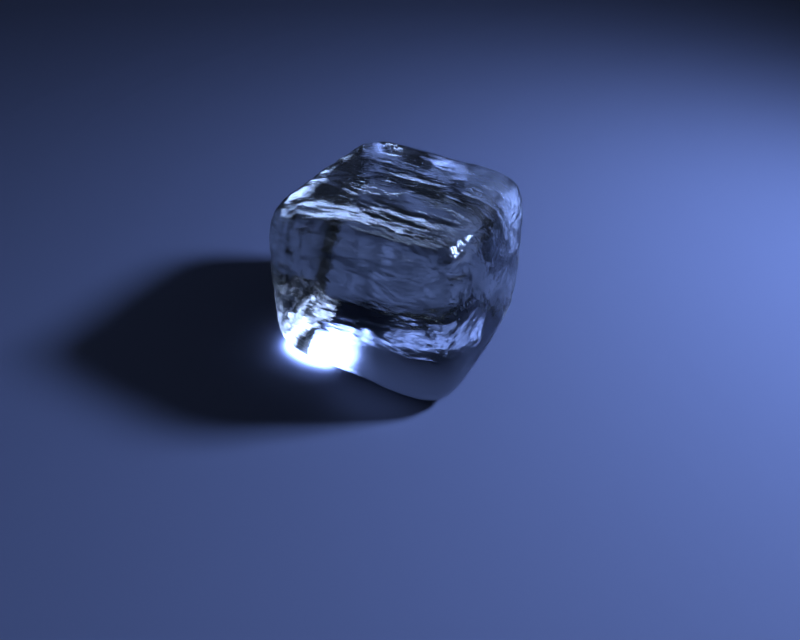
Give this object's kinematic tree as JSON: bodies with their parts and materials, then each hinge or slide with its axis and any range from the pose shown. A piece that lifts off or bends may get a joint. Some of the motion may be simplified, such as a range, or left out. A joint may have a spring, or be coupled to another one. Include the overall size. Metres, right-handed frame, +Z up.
{
  "type": "ice cube",
  "caption": "Clear, slowly melting ice cube with rounded edges, gently uneven faces, walls that lean in to the top and a flat base to stand on.",
  "frame": {"origin": "middle of the flat base, on the surface that the cube stands on", "axes": "+Z up through the top, +X along the longer side, +Y along the shorter side"},
  "size_m": [0.0322, 0.0316, 0.027],
  "materials": {
    "ice": "clear, wet and glossy, with fine ripples from melting"
  },
  "bodies": {
    "root": {"ice_cube": "ice"}
  },
  "joints": []
}
